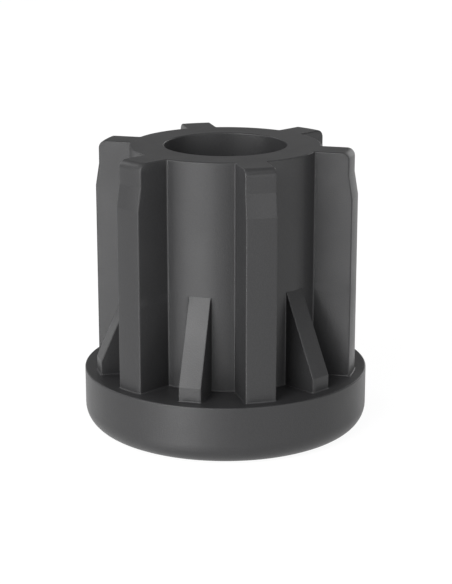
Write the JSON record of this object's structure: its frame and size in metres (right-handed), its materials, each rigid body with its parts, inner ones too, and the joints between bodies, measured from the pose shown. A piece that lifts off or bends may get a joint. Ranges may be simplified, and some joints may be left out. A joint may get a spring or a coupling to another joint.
{
  "type": "threaded tube insert",
  "caption": "Round moulded plug with spring ribs and gussets on a flange, pressed into a tube's end to give it a screw thread.",
  "frame": {"origin": "middle of the flange's underside, which the insert stands on", "axes": "+Z along the thread's axis, from the flange up into the tube; +X through the middle of one rib"},
  "size_m": [0.03, 0.03, 0.03],
  "materials": {
    "moulded_plastic": "fine matt grain as moulded, dark grey"
  },
  "bodies": {
    "root": {"threaded_insert": "moulded_plastic"}
  },
  "joints": []
}
